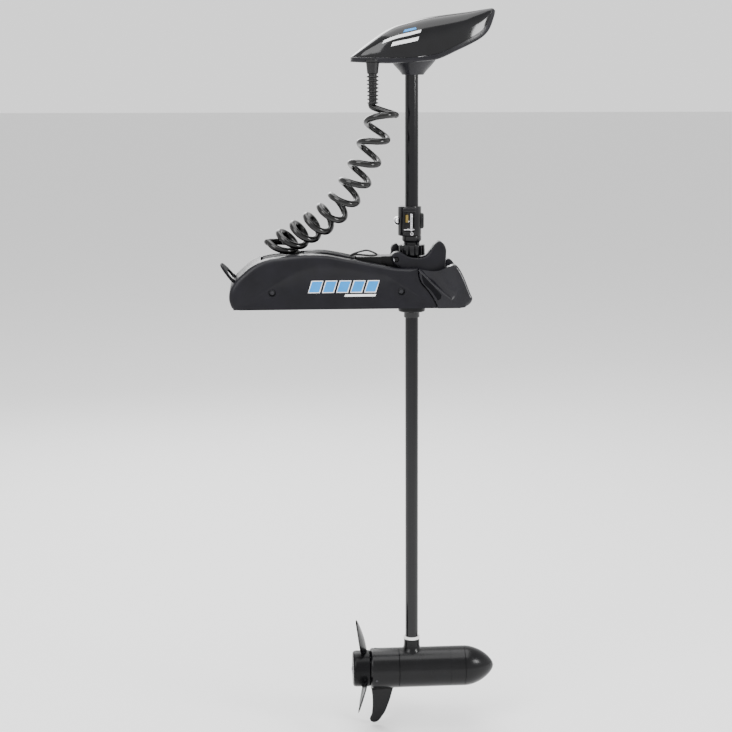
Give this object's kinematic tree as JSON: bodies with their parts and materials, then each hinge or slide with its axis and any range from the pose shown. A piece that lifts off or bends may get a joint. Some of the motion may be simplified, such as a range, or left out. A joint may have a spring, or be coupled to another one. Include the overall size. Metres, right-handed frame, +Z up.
{
  "type": "trolling motor",
  "caption": "Bow-mount electric trolling motor with a tilting powered steering unit on a deck mount, a sliding shaft, a curly power cord and a submerged propeller motor.",
  "frame": {"origin": "centre of the deck face: the underside of the mount's rail, on its centre line", "axes": "+Z up along the shaft as deployed, +X towards the outboard end of the mount where the shaft is"},
  "size_m": [0.6014, 0.2149, 1.5943],
  "materials": {
    "cover_black": "satin textured black moulding",
    "gloss_black": "gloss black",
    "pan_grey": "satin dark grey",
    "cast_black": "black powder coat",
    "anodised": "black anodised",
    "shaft_black": "gloss black composite",
    "rubber": "satin black",
    "steel": "stainless",
    "chrome": "polished",
    "brass": "machined",
    "seal_white": "white",
    "circuit": "solder mask green",
    "copper": "copper winding"
  },
  "bodies": {
    "mount_base": {"deck_rail": "anodised", "side_cover_near": "cover_black", "side_cover_far": "cover_black", "ramp_near": "cover_black", "ramp_far": "cover_black", "spine_cover_rear": "cover_black", "spine_cover_front": "cover_black", "hinge_block": "cast_black", "tilt_pin": "steel", "pedal_pin": "steel", "cover_bolt_1_near": "steel", "cover_bolt_1_far": "steel", "cover_bolt_2_near": "steel", "cover_bolt_2_far": "steel", "control_board": "circuit", "cord_socket": "rubber", "power_inlet": "rubber", "curly_cord": "rubber", "cord_tail": "rubber", "pull_loop": "rubber"},
    "pedal": {"release_pedal": "cast_black"},
    "latch": {"latch_rod": "steel"},
    "steering_unit": {"steering_housing": "cover_black", "bearing_flange": "cast_black", "steering_motor": "steel", "lower_bush": "brass", "upper_bush": "brass"},
    "pinion": {"steer_pinion": "steel"},
    "drive_head": {"drive_sleeve": "gloss_black", "steering_ring": "gloss_black", "ring_gear": "steel"},
    "shaft_assembly": {"shaft_tube": "shaft_black", "head_cover": "gloss_black", "head_pan": "pan_grey", "gps_board": "circuit", "head_screw_front": "steel", "head_screw_back": "steel", "cord_gland": "rubber", "strain_relief": "rubber", "seal_ring": "seal_white", "motor_case": "cast_black", "nose_cone": "cast_black", "rear_bell": "cast_black", "skeg": "cast_black", "field_magnets": "cast_black", "brush_plate": "circuit", "front_bearing": "steel", "rear_bearing": "steel", "shaft_seal": "rubber"},
    "propeller": {"propeller": "gloss_black", "prop_shaft": "steel", "armature": "copper", "commutator": "copper", "prop_nut": "steel"},
    "collar": {"depth_collar": "gloss_black", "clamp_shoe": "brass", "lever_pin": "steel"},
    "knob": {"clamp_knob": "chrome"},
    "lever": {"cam_lever": "chrome"}
  },
  "joints": [
    {"name": "pedal_press", "type": "hinge", "parent": "mount_base", "child": "pedal", "pos_m": [-0.222, 0, 0.044], "axis": [0, -1, 0], "range_deg": [0, 18], "stiffness_Nm_per_rad": 2, "springref_deg": -11.46},
    {"name": "latch_slide", "type": "slide", "parent": "mount_base", "child": "latch", "axis": [1, 0, 0], "range_m": [0, 0.006]},
    {"name": "stow_tilt", "type": "hinge", "parent": "mount_base", "child": "steering_unit", "pos_m": [0.113, 0, 0.104], "axis": [0, -1, 0], "range_deg": [0, 82], "deforming": ["curly_cord", "cord_tail", "pull_loop"]},
    {"name": "steer", "type": "hinge", "parent": "steering_unit", "child": "drive_head", "pos_m": [0.15, 0, 0.1], "axis": [0, 0, 1], "range_deg": [-180, 180]},
    {"name": "steer_motor_spin", "type": "hinge", "parent": "steering_unit", "child": "pinion", "pos_m": [0.19, 0, 0.013], "axis": [0, 0, 1], "range_deg": [-541, 541]},
    {"name": "depth_slide", "type": "slide", "parent": "drive_head", "child": "shaft_assembly", "axis": [0, 0, 1], "range_m": [0, 0.68]},
    {"name": "prop_spin", "type": "hinge", "parent": "shaft_assembly", "child": "propeller", "pos_m": [0.035, 0, -0.83], "axis": [1, 0, 0], "continuous": true},
    {"name": "collar_slide", "type": "slide", "parent": "shaft_assembly", "child": "collar", "axis": [0, 0, 1], "range_m": [0, 0.25]},
    {"name": "knob_turn", "type": "hinge", "parent": "collar", "child": "knob", "pos_m": [0.1203, 0, 0.18335], "axis": [1, 0, 0], "range_deg": [0, 720]},
    {"name": "lever_swing", "type": "hinge", "parent": "collar", "child": "lever", "pos_m": [0.15, -0.021, 0.1655], "axis": [1, 0, 0], "range_deg": [0, 95]}
  ],
  "couplings": [
    {"joint": "steer_motor_spin", "follows": "steer", "ratio": -3},
    {"joint": "latch_slide", "follows": "pedal_press", "m_per_rad": 0.016}
  ]
}
